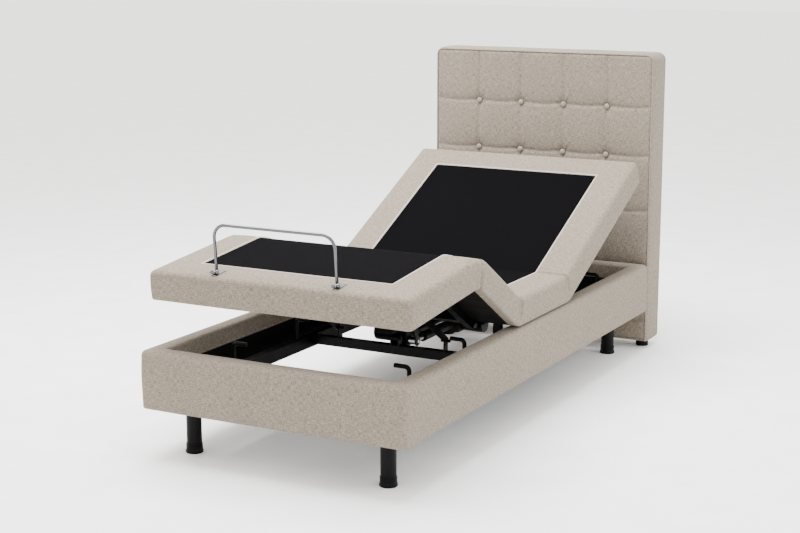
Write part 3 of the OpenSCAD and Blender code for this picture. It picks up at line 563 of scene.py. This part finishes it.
def platform_cover():
    """Three stretches of cover, each with its hem and black cloth, each over one hinge."""
    rules = side_rules()
    thick, total, cuts = rules["thick"], rules["total"], rules["cuts"]
    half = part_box("seat_pad")[1].x
    lip = float(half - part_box("seat_cloth")[1].x)
    profile, hem = cover_profile(thick, lip)
    stations = rules["s"]
    rings = []
    for d, h in profile:
        ring = outline(half - d, d, total - d, max(0.015 - d, 0.0035), stations, 26)
        rings.append(np.concatenate([ring, np.full((len(ring), 1), h)], 1))
    rings = np.stack(rings, 1)
    x, s, h = rings[..., 0], rings[..., 1], rings[..., 2]
    points = on_rules(rules, s, x, h)
    crease_hinges(points, x, s, h, rules, half, lip)
    points += ripple(points, s, rules)[..., None] * np.array([0.35, 0.2, 0.6])
    widest = 8
    u = lengths(np.concatenate([rings[:, widest, :2], rings[:1, widest, :2]]))
    uv = np.stack(np.meshgrid(u, lengths(profile), indexing="ij"), -1)
    mid = (s + np.roll(s, -1, 0)) / 2
    hem_from = len(profile) - len(hem)

    clear = (stations > lip + 0.02) & (stations < total - lip - 0.02)
    cloth_s = np.concatenate([[lip], stations[clear], [total - lip]])
    cloth_mid = (cloth_s[:-1] + cloth_s[1:]) / 2
    cloth_x = np.linspace(-(half - lip) - 0.001, half - lip + 0.001, 22)
    gs, gx = np.meshgrid(cloth_s, cloth_x, indexing="ij")
    sheet = on_rules(rules, gs, gx, np.full(gs.shape, thick - 0.0012))
    sheet[..., 2] += 0.0008 * np.sin(gx * 23 + gs * 11) * bell(gs - cuts[0], 0.1)
    sheet_uv = np.stack([gx, gs], -1)

    spans = {"leg": (-1, cuts[0]), "seat": (cuts[0], cuts[1]), "back": (cuts[1], 9)}
    crossing = {"leg": ("thigh", "lower_leg", "knee", "leg", "thigh"),
                "seat": ("thigh", "base", "thigh", "thigh", "seat"),
                "back": ("base", "back", "back", "seat", "back")}
    sections = {"leg": ("leg",), "seat": ("thigh", "seat"), "back": ("back",)}
    for part, (lo, hi) in spans.items():
        a, b, key, before, after = crossing[part]
        pads = tuple(name + "_pad" for name in sections[part])
        cloths = tuple(name + "_cloth" for name in sections[part])
        main = ((mid > lo) & (mid < hi))[:, : len(profile) - 1].copy()
        edge = main.copy()
        main[:, hem_from:] = False
        edge[:, :hem_from] = False
        here = (cloth_mid > lo) & (cloth_mid < hi)
        cut = np.repeat(here[:, None], len(cloth_x) - 1, 1)
        cover = grid_piece(part + "_cover", points, uv, ring=True, keep=main, flip=True)
        # the hem piece takes the paler linen, a painted highlight along the rolled edge
        painted_highlight_hem = grid_piece(part + "_hem", points, uv, ring=True, keep=edge, flip=True)
        cloth = grid_piece(part + "_black_cloth", sheet, sheet_uv, keep=cut, flip=True)
        centre = rules["hinge"][key]
        direction = (rules["turn"][before] + rules["turn"][after]) / 2
        step = np.array([math.cos(direction), math.sin(direction)]) * 0.062
        start, end = (0, *(centre - step)), (0, *(centre + step))
        if part == "leg":
            start, end = end, start
        for piece, slot, material, gone in ((cover, "upholstery", "linen", pads),
                                            (painted_highlight_hem, "upholstery", "linen_edge", ()),
                                            (cloth, "black_cloth", "cloth", cloths)):
            dress(piece, None, slot, finish[material], *gone)
            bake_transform(piece)
            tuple(start)
            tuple(end)
        rows = np.nonzero(here)[0]
        run = lengths(sheet[rows[0] : rows[-1] + 2, 0])[-1]


# ---- the box frame's cover --------------------------------------------------------


def ring_cover(name, profile, loop, place):
    """Sweeps (inset, height) pairs round a loop.

    loop(inset) gives the loop's points, and place(points, height) their positions.
    """
    rings = [loop(d) for d, _ in profile]
    points = np.stack([place(ring, h) for ring, (_, h) in zip(rings, profile)], 1)
    widest = rings[min(range(len(profile)), key=lambda k: profile[k][0])]
    u = lengths(np.concatenate([widest, widest[:1]]))
    uv = np.stack(np.meshgrid(u, lengths(profile), indexing="ij"), -1)
    return grid_piece(name, points, uv, ring=True, flip=True)


def rail_cover():
    """The linen round the four rails, over their tops and down inside to the black lining."""
    low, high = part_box("foot_rail_pad")[0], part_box("head_rail_pad")[1]
    half, foot, length = high.x, low.y, high.y - low.y
    bottom, tall = low.z, high.z - low.z
    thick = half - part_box("right_rail_pad")[0].x
    side_s = np.linspace(0, length, 70)
    round_top, round_low, plan, proud, fabric_in = 0.017, 0.007, 0.018, 0.0012, 0.056

    def loop(d):
        return outline(half - d, d, length - d, max(plan - d, 0.003), side_s, 26)

    def place(ring, h):
        p = np.stack([ring[:, 0], foot + ring[:, 1], np.full(len(ring), bottom + h)], 1)
        return p + 0.0006 * crumple(p * 0.3, 2.7)[:, None] * np.array([1, 1, 0.5])

    profile = [(0.026, -proud), (0.012, -proud)]
    profile += arc((round_low - proud, round_low - proud), round_low, 270, 180, 5)
    profile += [(-proud - 0.0016 * math.sin(math.pi * t),
                 round_low + (tall - round_low - round_top) * t)
                for t in np.linspace(0, 1, 9)[1:-1]]
    profile += arc((round_top - proud, tall - round_top), round_top, 180, 90, 8)
    profile += [(0.024, tall + 0.0006), (0.034, tall + 0.0008), (0.044, tall + 0.0004)]
    profile += arc((thick - 0.010, tall - 0.011), 0.011, 90, 0, 6)
    profile += [(thick + 0.001, tall - t) for t in (0.022, 0.034, 0.046)]
    profile += [(thick + 0.0014, tall - fabric_in), (thick + 0.0002, tall - fabric_in - 0.002)]
    cover = ring_cover("rail_cover", profile, loop, place)
    dress(cover, "base", "upholstery", finish["linen"], "foot_rail_pad", "head_rail_pad",
          "left_rail_pad", "right_rail_pad")
    inside = [(thick + 0.0006, tall - fabric_in + 0.003), (thick + 0.0008, tall * 0.4),
              (thick + 0.0006, 0.004), (thick - 0.006, -0.0004)]
    lining = ring_cover("rail_lining", inside, loop, place)
    dress(lining, "base", "lining", finish["lining"])
    round_it = lengths(np.concatenate([loop(thick), loop(thick)[:1]]))[-1]
    float(lengths(inside)[-1])
    staple_z = bottom + tall - fabric_in + 0.004
    for name, sign in (("left", -1), ("right", 1)):
        line = [(sign * (half - thick - 0.0018), foot + s, staple_z)
                for s in (thick + 0.01, length - thick - 0.01)]
        staples("rail_staples_" + name, line, (-sign, 0, 0), "base")


# ---- repeated fixings -------------------------------------------------------------


def repeat_tree(name):
    """Geometry nodes: one small rounded bar at even steps along a line, turned to follow it."""
    tree = bpy.data.node_groups.new(name, "GeometryNodeTree")
    face = tree.interface
    face.new_socket("Line", in_out="INPUT", socket_type="NodeSocketGeometry")
    for label, kind in (("Pitch", "Float"), ("Length", "Float"), ("Width", "Float"),
                        ("Height", "Float"), ("Material", "Material"), ("Up", "Vector")):
        face.new_socket(label, in_out="INPUT", socket_type="NodeSocket" + kind)
    face.new_socket("Pieces", in_out="OUTPUT", socket_type="NodeSocketGeometry")
    n, link = tree.nodes, tree.links.new
    given, out = n.new("NodeGroupInput"), n.new("NodeGroupOutput")
    curve = n.new("GeometryNodeMeshToCurve")
    link(given.outputs["Line"], curve.inputs[0])
    even = n.new("GeometryNodeResampleCurve")
    even.mode = "LENGTH"
    link(curve.outputs[0], even.inputs["Curve"])
    link(given.outputs["Pitch"], even.inputs["Length"])
    solid = n.new("GeometryNodeMeshUVSphere")
    solid.inputs["Segments"].default_value, solid.inputs["Rings"].default_value = 8, 5
    size = n.new("ShaderNodeCombineXYZ")
    for k, label in enumerate(("Length", "Width", "Height")):
        link(given.outputs[label], size.inputs[k])
    shaped = n.new("GeometryNodeTransform")
    link(solid.outputs["Mesh"], shaped.inputs["Geometry"])
    link(size.outputs[0], shaped.inputs["Scale"])
    run = n.new("GeometryNodeInputTangent")
    aim = n.new("FunctionNodeAxesToRotation")
    aim.primary_axis, aim.secondary_axis = "Z", "X"
    link(given.outputs["Up"], aim.inputs[0])
    link(run.outputs[0], aim.inputs[1])
    many = n.new("GeometryNodeInstanceOnPoints")
    link(even.outputs[0], many.inputs["Points"])
    link(shaped.outputs[0], many.inputs["Instance"])
    link(aim.outputs[0], many.inputs["Rotation"])
    real = n.new("GeometryNodeRealizeInstances")
    link(many.outputs[0], real.inputs[0])
    made = n.new("GeometryNodeSetMaterial")
    link(real.outputs[0], made.inputs["Geometry"])
    link(given.outputs["Material"], made.inputs["Material"])
    link(made.outputs[0], out.inputs[0])
    return tree


stitch_run = repeat_tree("stitch_run")


def repeated(name, lines, up, body, slot, material, pitch, size):
    """Stitches or staples along lines of points, as one piece; size is (length, width, height)."""
    verts, edges = [], []
    for line in lines:
        edges += [(len(verts) + k, len(verts) + k + 1) for k in range(len(line) - 1)]
        verts += [tuple(float(c) for c in p) for p in line]
    mesh = bpy.data.meshes.new(name + "_line")
    mesh.from_pydata(verts, edges, [])
    holder = bpy.data.objects.new(name + "_line", mesh)
    bpy.context.scene.collection.objects.link(holder)
    run = holder.modifiers.new("run", "NODES")
    run.node_group = stitch_run
    values = {"Pitch": pitch, "Length": size[0], "Width": size[1], "Height": size[2],
              "Material": material, "Up": up}
    for item in stitch_run.interface.items_tree:
        if item.in_out == "INPUT" and item.name in values:
            run[item.identifier] = values[item.name]
    bpy.context.view_layer.update()
    seen = holder.evaluated_get(bpy.context.evaluated_depsgraph_get())
    made = bpy.data.meshes.new_from_object(seen)
    bpy.data.objects.remove(holder)
    made.name = name
    made.polygons.foreach_set("use_smooth", [True] * len(made.polygons))
    piece = bpy.data.objects.new(name, made)
    bpy.context.scene.collection.objects.link(piece)
    return dress(piece, body, slot, material)


def staples(name, line, up, body):
    repeated(name, [line], up, body, "zinc_steel", finish["zinc"], 0.045,
             (0.006, 0.0006, 0.0006))


def stitching(name, line, up, body):
    pitch = 0.0062
    repeated(name, [line], up, body, "upholstery", finish["thread"], pitch,
             (pitch * 0.40, 0.00055, 0.0005))


# ---- headboard --------------------------------------------------------------------


head_corner, foot_corner, panel_seam = 0.030, 0.008, 0.0085


def head_loop(half, z0, z1, low, top):
    """A closed outline in the headboard's face as (x, z).

    low and top are its corner radii at the bottom and the top.
    """
    turns = 9
    points = [(x, z0) for x in np.linspace(-(half - low), half - low, 24)]
    points += arc((half - low, z0 + low), low, 270, 360, turns)[1:]
    points += [(half, z) for z in np.linspace(z0 + low, z1 - top, 44)[1:-1]]
    points += arc((half - top, z1 - top), top, 0, 90, turns)
    points += [(x, z1) for x in np.linspace(half - top, top - half, 24)[1:-1]]
    points += arc((top - half, z1 - top), top, 90, 180, turns)
    points += [(-half, z) for z in np.linspace(z1 - top, z0 + low, 44)[1:-1]]
    points += arc((low - half, z0 + low), low, 180, 270, turns)[:-1]
    return np.array(points)


def clusters(points, apart):
    """Centres of groups of points that lie within a distance of each other."""
    left, centres = [np.asarray(p) for p in points], []
    while left:
        near = [p for p in left if np.linalg.norm(p - left[0]) < apart]
        left = [p for p in left if np.linalg.norm(p - left[0]) >= apart]
        centres.append(np.mean(near, 0))
    return centres


def headboard_border(half, z0, z1, front, deep):
    """The plain border: from the front panel's seam, round the edge and over the rear."""
    edge = [(panel_seam + 0.0010, 0.012), (panel_seam, 0.0048), (panel_seam - 0.0014, 0.0022),
            (0.0052, 0.0012), (0.0030, 0.0022), (0.0010, 0.0056), (-0.0002, 0.011)]
    side = [(-0.0006 - 0.0016 * math.sin(math.pi * t), 0.012 + (deep - 0.024) * t)
            for t in np.linspace(0, 1, 8)]
    rear = [(0.0004, deep - 0.006), (0.0028, deep - 0.0016), (0.007, deep + 0.0002),
            (0.016, deep + 0.0006), (0.0235, deep - 0.0004)]

    def loop(d):
        return head_loop(half - d, z0 + d, z1 - d, max(foot_corner - d, 0.002),
                         max(head_corner - d, 0.004))

    def place(ring, y):
        p = np.stack([ring[:, 0], np.full(len(ring), front + y), ring[:, 1]], 1)
        return p + 0.0006 * crumple(p * 0.3, 5.1)[:, None] * np.array([1, 0, 1])

    border = ring_cover("headboard_border_cover", edge + side + rear, loop, place)
    dress(border, "base", "upholstery", finish["linen"], "headboard_border")


def headboard_front(half, z0, z1, front, centres):
    """The buttoned panel: soft squares between sewn channels, with pleats round each button."""
    columns = sorted({round(float(c[0]), 4) for c in centres})
    rows = sorted({round(float(c[1]), 4) for c in centres}, reverse=True)
    step = rows[0] - rows[1]
    seams = list(rows)
    while seams[-1] - step > z0 + 0.06:
        seams.append(seams[-1] - step * 1.14)
    wide = half - panel_seam + 0.0004
    x = np.linspace(-wide, wide, 215)
    z = np.linspace(z0 + panel_seam, z1 - panel_seam + 0.0004, 250)
    gx, gz = np.meshgrid(x, z, indexing="ij")

    # the square grid's top corners are drawn in to round ones
    cx, cz = wide - (head_corner - panel_seam), z[-1] - (head_corner - panel_seam)
    over = (np.abs(gx) > cx) & (gz > cz)
    away = np.hypot(np.abs(gx) - cx, gz - cz)
    longest = np.maximum(np.abs(gx) - cx, gz - cz)
    squeeze = np.where(over & (away > 1e-9), longest / np.maximum(away, 1e-9), 1.0)
    px = np.where(over, np.sign(gx) * (cx + (np.abs(gx) - cx) * squeeze), gx)
    pz = np.where(over, cz + (gz - cz) * squeeze, gz)

    # distances to the nearest upright seam, level seam, edge and button
    bow = 0.0035 * np.sin((pz - seams[0]) / step * math.pi)
    across = np.min([np.abs(px - c - bow * (0.6 + 0.5 * math.sin(9 * c))) for c in columns], 0)
    sag = 0.0022 * np.cos(px * 2 * math.pi / (columns[1] - columns[0]) + math.pi)
    down = np.min([np.abs(pz - r - sag) for r in seams], 0)
    below = np.min([np.where(pz - r - sag < 0, r + sag - pz, 9) for r in seams], 0)
    rim = np.minimum(np.minimum(wide - np.abs(px), z[-1] - pz), pz - z[0])
    to_x, to_z = (p[..., None] - np.array([c[k] for c in centres]) for k, p in enumerate((px, pz)))
    far, bearing = np.hypot(to_z, to_x), np.arctan2(to_z, to_x)
    knot = far.min(-1)

    def channel(distance, deep, width, soft):
        """A sharp fold at its seam, in a broad soft hollow."""
        return deep * np.exp(-distance / width) + soft * bell(distance, 0.045)

    upright = channel(across, 0.0056, 0.0075, 0.0020)
    level = channel(down, 0.0062, 0.0085, 0.0024) - 0.0012 * bell(below - 0.010, 0.008)
    at_rim = 0.0060 * np.exp(-rim / 0.0040)
    at_button = 0.0075 * bell(knot, 0.020) + 0.0050 * np.exp(-knot / 0.045)
    pleat = (0.0009 * np.cos(8 * bearing + 0.6) * bell(far - 0.026, 0.016)).sum(-1)
    depth = (upright ** 3 + level ** 3 + at_rim ** 3) ** (1 / 3) + at_button + pleat
    points = np.stack([px, front + np.clip(depth, 0.0004, 0.021), pz], -1)
    panel = grid_piece("headboard_front", points, np.stack([px, pz], -1))
    dress(panel, "base", "upholstery", finish["linen"], "headboard_pad")


def covered_buttons(front, centres):
    dome = [(0.0, -0.0062), (0.003, -0.0060), (0.006, -0.0052), (0.0085, -0.0037),
            (0.0102, -0.0016), (0.0110, 0.0008), (0.0106, 0.0028), (0.0090, 0.0042),
            (0.0072, 0.0052)]
    sides, sunk, stretch = 28, front + 0.0100, 1.2
    turn = np.arange(sides) * 2 * math.pi / sides
    verts, faces, corner_uv = [], [], []
    for c in centres:
        base = len(verts)
        for r, y in dome:
            for a in turn:
                out = max(r, 0.0004) * (1 + 0.012 * math.sin(6 * a + c[0] * 40))
                verts.append((c[0] + out * math.cos(a), sunk + y, c[1] + out * math.sin(a)))
        for k in range(len(dome) - 1):
            for i in range(sides):
                this, after = base + k * sides, base + (k + 1) * sides
                j = (i + 1) % sides
                quad = [this + i, this + j, after + j, after + i]
                faces.append(quad)
                corner_uv += [(verts[q][0] * stretch, verts[q][2] * stretch) for q in quad]
    buttons = mesh_piece("covered_buttons", verts, faces, corner_uv)
    dress(buttons, "base", "upholstery", finish["linen_button"], "tuft_buttons")


def headboard_stitches(half, z0, z1, front):
    """Two rows, up one side, over the top and down the other."""
    for name, d, y in (("headboard_edge_stitches", 0.0046, -0.0002),
                       ("headboard_panel_stitches", panel_seam + 0.0062, 0.0030)):
        ring = head_loop(half - d, z0 + d, z1 - d, 0.003, max(head_corner - d, 0.004))
        first, last = (int(np.argmin(np.hypot(ring[:, 0] - x, ring[:, 1] - z0)))
                       for x in (half, -half))
        line = [(p[0], front + y, p[1]) for p in ring[first : last + 1]]
        stitching(name, line, (0, -1, 0), "base")


def headboard_rear(back):
    """The back cloth, a little hollow within its frame, and its staples."""
    low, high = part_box("headboard_back")
    inner, base_z, top_z = high.x, low.z, high.z
    bx, bz = np.meshgrid(np.linspace(-inner, inner, 40), np.linspace(base_z, top_z, 48),
                         indexing="ij")
    from_edge = np.minimum(inner - np.abs(bx), np.minimum(bz - base_z, top_z - bz))
    hollow = np.clip(from_edge / 0.12, 0, 1)
    p = np.stack([bx, np.full(bx.shape, back - 0.0004) - 0.0016 * hollow, bz], -1)
    p[..., 1] += 0.0006 * hollow * crumple(p * 0.15, 3.3)
    cloth = grid_piece("headboard_back_cloth", p, np.stack([bx, bz], -1), flip=True)
    dress(cloth, "base", "lining", finish["lining"], "headboard_back")
    inset = 0.010
    side, low_z, high_z = inner - inset, base_z + inset, top_z - inset
    path = [(x, back, z) for x, z in ((-side, low_z), (-side, high_z), (side, high_z),
                                      (side, low_z))]
    staples("headboard_back_staples", path, (0, 1, 0), "base")


def headboard():
    low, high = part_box("headboard_border")
    half, z0, z1, front, back = high.x, low.z, high.z, low.y, high.y
    centres = clusters(cad_points("tuft_buttons")[:, [0, 2]], 0.03)
    headboard_border(half, z0, z1, front, back - front)
    headboard_front(half, z0, z1, front, centres)
    covered_buttons(front, centres)
    headboard_stitches(half, z0, z1, front)
    headboard_rear(back)


# ---- motor leads ------------------------------------------------------------------


def motor_lead(name, route, thick):
    """A lead that leaves the control box, sags a little and goes into a motor's housing."""
    points = evenly(smoothed(route, 0.006), 24)
    curve = bpy.data.curves.new(name, "CURVE")
    curve.dimensions = "3D"
    curve.bevel_depth = thick / 2
    curve.bevel_resolution = 4
    curve.use_fill_caps = True
    run = curve.splines.new("POLY")
    run.points.add(len(points) - 1)
    run.points.foreach_set("co", np.concatenate([points, np.ones((len(points), 1))], 1).ravel())
    run.use_smooth = True
    piece = bpy.data.objects.new(name, curve)
    bpy.context.scene.collection.objects.link(piece)
    dress(piece, "base", "lead_sheath", finish["sheath"], "motor_leads")
    float(lengths(points)[-1])


def grommet(name, place, way, thick):
    """A ribbed, tapered sleeve where a lead leaves a housing."""
    way, up = np.array(way, float), np.array([0, 0, 1.0])
    side = np.cross(way, up)
    rows = [(0.0001, 0.0), (thick * 0.95, 0.0), (thick * 0.95, 0.002)]
    for k in range(5):
        wide, rib = thick * (0.86 - 0.07 * k), 0.0032 * k
        rows += [(wide, 0.0028 + rib), (wide, 0.0044 + rib), (wide * 0.86, 0.0046 + rib),
                 (wide * 0.86, 0.0058 + rib)]
    rows += [(thick * 0.54, 0.0205), (thick * 0.50, 0.0210)]
    turn = np.linspace(0, 2 * math.pi, 25)[:-1]
    spokes = np.cos(turn)[:, None] * side + np.sin(turn)[:, None] * up
    points = np.stack([np.array(place) + way * t + r * spokes for r, t in rows], 1)
    u = np.linspace(0, 2 * math.pi * thick, 25)
    uv = np.stack(np.meshgrid(u, lengths(rows), indexing="ij"), -1)
    dress(grid_piece(name, points, uv, ring=True), "base", "black_plastic", finish["plastic"])


def motor_leads():
    """The two leads, in metres as in the part's source, and a sleeve at the start of each."""
    low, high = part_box("control_box")
    x, side, fore, mid = (low.x + high.x) / 2, high.x, low.y, (low.y + high.y) / 2
    thick = 0.006
    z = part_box("motor_leads")[1].z - thick / 2
    to_thigh = [(x, fore, z), (x, fore - 0.008, z), (x, fore - 0.025, z - 0.004),
                (x + 0.004, fore - 0.060, z - 0.010), (x + 0.018, fore - 0.090, z - 0.012),
                (x + 0.040, fore - 0.108, z - 0.012), (x + 0.070, fore - 0.112, z - 0.013)]
    to_back = [(side, mid, z), (side + 0.008, mid, z), (side + 0.030, mid - 0.002, z - 0.002),
               (side + 0.060, mid + 0.006, z - 0.004), (side + 0.090, mid + 0.014, z - 0.004),
               (side + 0.118, mid + 0.016, z - 0.006)]
    motor_lead("thigh_motor_lead", to_thigh, thick)
    motor_lead("back_motor_lead", to_back, thick)
    grommet("thigh_lead_grommet", to_thigh[0], (0, -1, 0), thick)
    grommet("back_lead_grommet", to_back[0], (1, 0, 0), thick)


# ---- mattress bar knobs -----------------------------------------------------------


def star_knob(side):
    """A knob with five lobes on a short stem, on its CAD node's axis and to its size."""
    node = "bar_knob_" + side
    joint = joints[node + "_turn"]
    centre, axis = np.array(joint["pos_m"]), np.array(joint["axis"], float)
    axis /= np.linalg.norm(axis)
    co = cad_points(node) - centre
    rise = co @ axis
    out = np.linalg.norm(co - rise[:, None] * axis, axis=1)
    reach, foot = out.max(), rise.min()
    head = rise[out > 0.6 * reach]
    low, high, stem = head.min(), head.max(), out[rise < foot + 1e-4].max()
    tall = high - low
    rows = [(stem, foot, 0), (stem, low - 0.0002, 0)]
    rows += [(reach * r, low + tall * t, lobe) for r, t, lobe in (
        (0.40, 0, 0), (0.52, 0.06, 0.2), (0.86, 0.16, 1), (0.98, 0.32, 1), (1.0, 0.5, 1),
        (0.96, 0.68, 1), (0.82, 0.84, 0.9), (0.58, 0.93, 0.5), (0.40, 0.97, 0.1), (0.30, 1, 0))]
    rows += [(0.0, high + 0.0002, 0)]
    sides = 60
    turn = np.arange(sides) * 2 * math.pi / sides
    right = np.array([1.0, 0, 0])
    fore = np.cross(axis, right)
    spokes = np.cos(turn)[:, None] * right + np.sin(turn)[:, None] * fore
    hollows = (0.5 - 0.5 * np.cos(5 * turn)) ** 0.6
    points = np.stack([centre + axis * t + (r * (1 - lobe * 0.46 * hollows))[:, None] * spokes
                       for r, t, lobe in rows], 1)
    u = np.linspace(0, 0.09, sides + 1)
    uv = np.stack(np.meshgrid(u, lengths([(r, t) for r, t, _ in rows]), indexing="ij"), -1)
    knob = grid_piece("star_knob_" + side, points, uv, ring=True)
    # the knob takes the darkened chrome, whose colour is a painted reflection
    dress(knob, node, "chrome", finish["chrome"], node)


camera()
finish_cad()
motor_leads()
platform_cover()
rail_cover()
headboard()
for side in ("left", "right"):
    star_knob(side)
studio()
